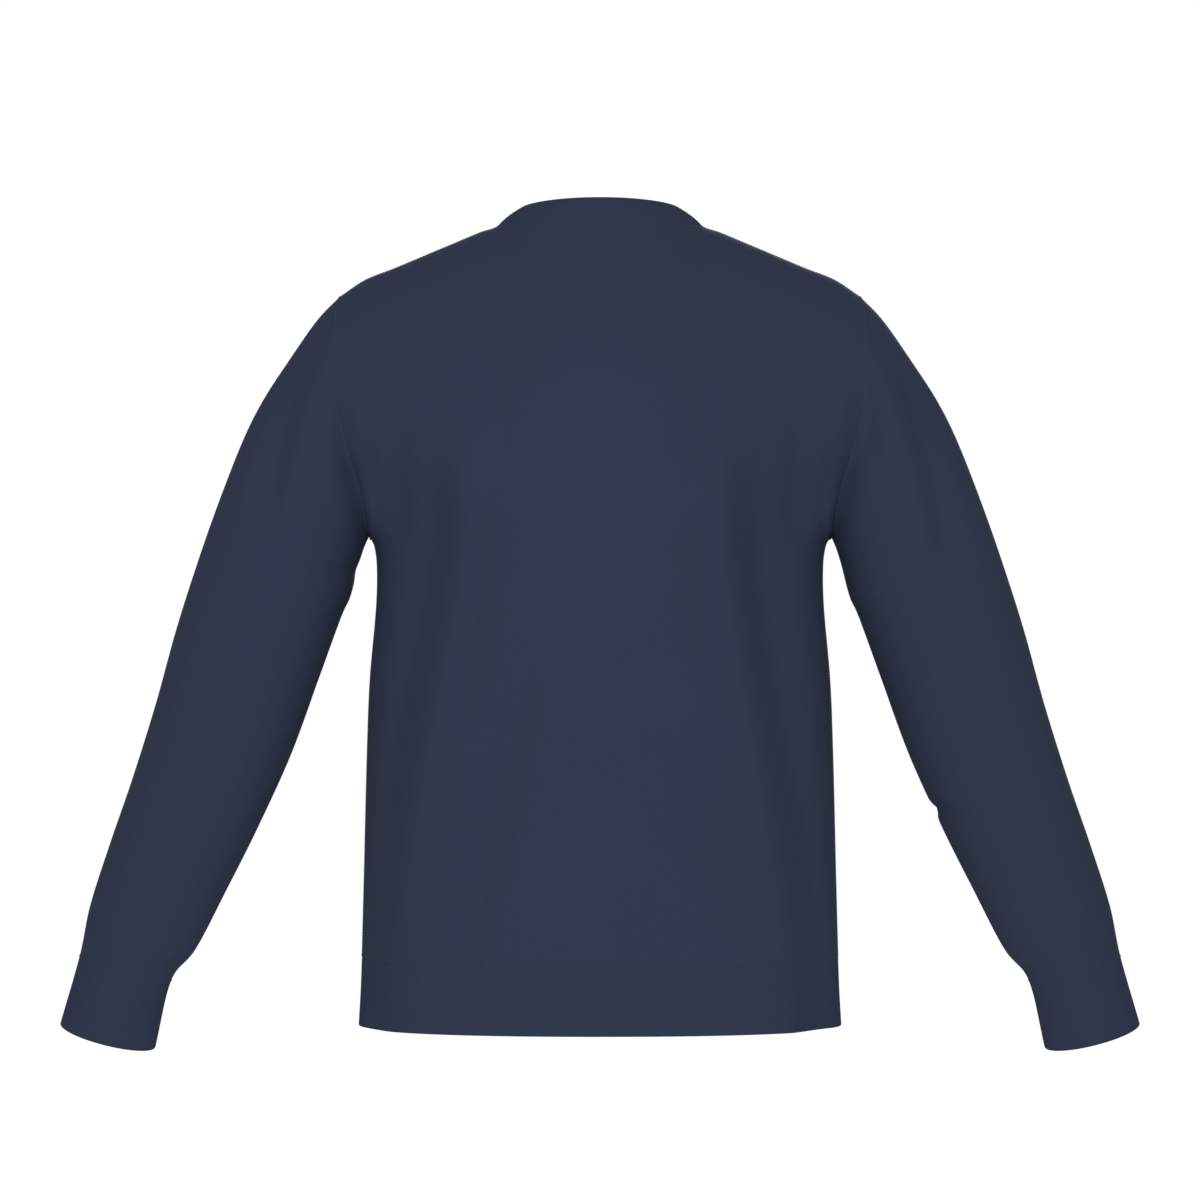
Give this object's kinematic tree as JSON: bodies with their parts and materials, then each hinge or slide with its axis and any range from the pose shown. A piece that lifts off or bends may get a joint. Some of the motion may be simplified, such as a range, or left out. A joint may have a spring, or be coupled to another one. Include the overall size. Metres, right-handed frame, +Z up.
{
  "type": "crewneck sweater",
  "caption": "Long-sleeved crewneck sweater in plain fine knit, with set-in sleeves and ribbed collar, cuffs and hem, filled out as if worn.",
  "frame": {"origin": "middle of the neck opening, level with the high shoulder points, where the wearer's neck and shoulders hold the garment", "axes": "+X towards the garment's left sleeve, +Z up, and the garment's front faces -Y"},
  "size_m": [0.927, 0.2568, 0.723],
  "materials": {
    "navy_jersey": "matte fine-gauge plain knit",
    "navy_rib": "matte fine one-by-one rib"
  },
  "bodies": {
    "root": {"back": "navy_jersey", "front": "navy_jersey", "sleeve_left": "navy_jersey", "sleeve_right": "navy_jersey", "collar_rib": "navy_rib", "hem_rib": "navy_rib", "cuff_left": "navy_rib", "cuff_right": "navy_rib"}
  },
  "joints": []
}
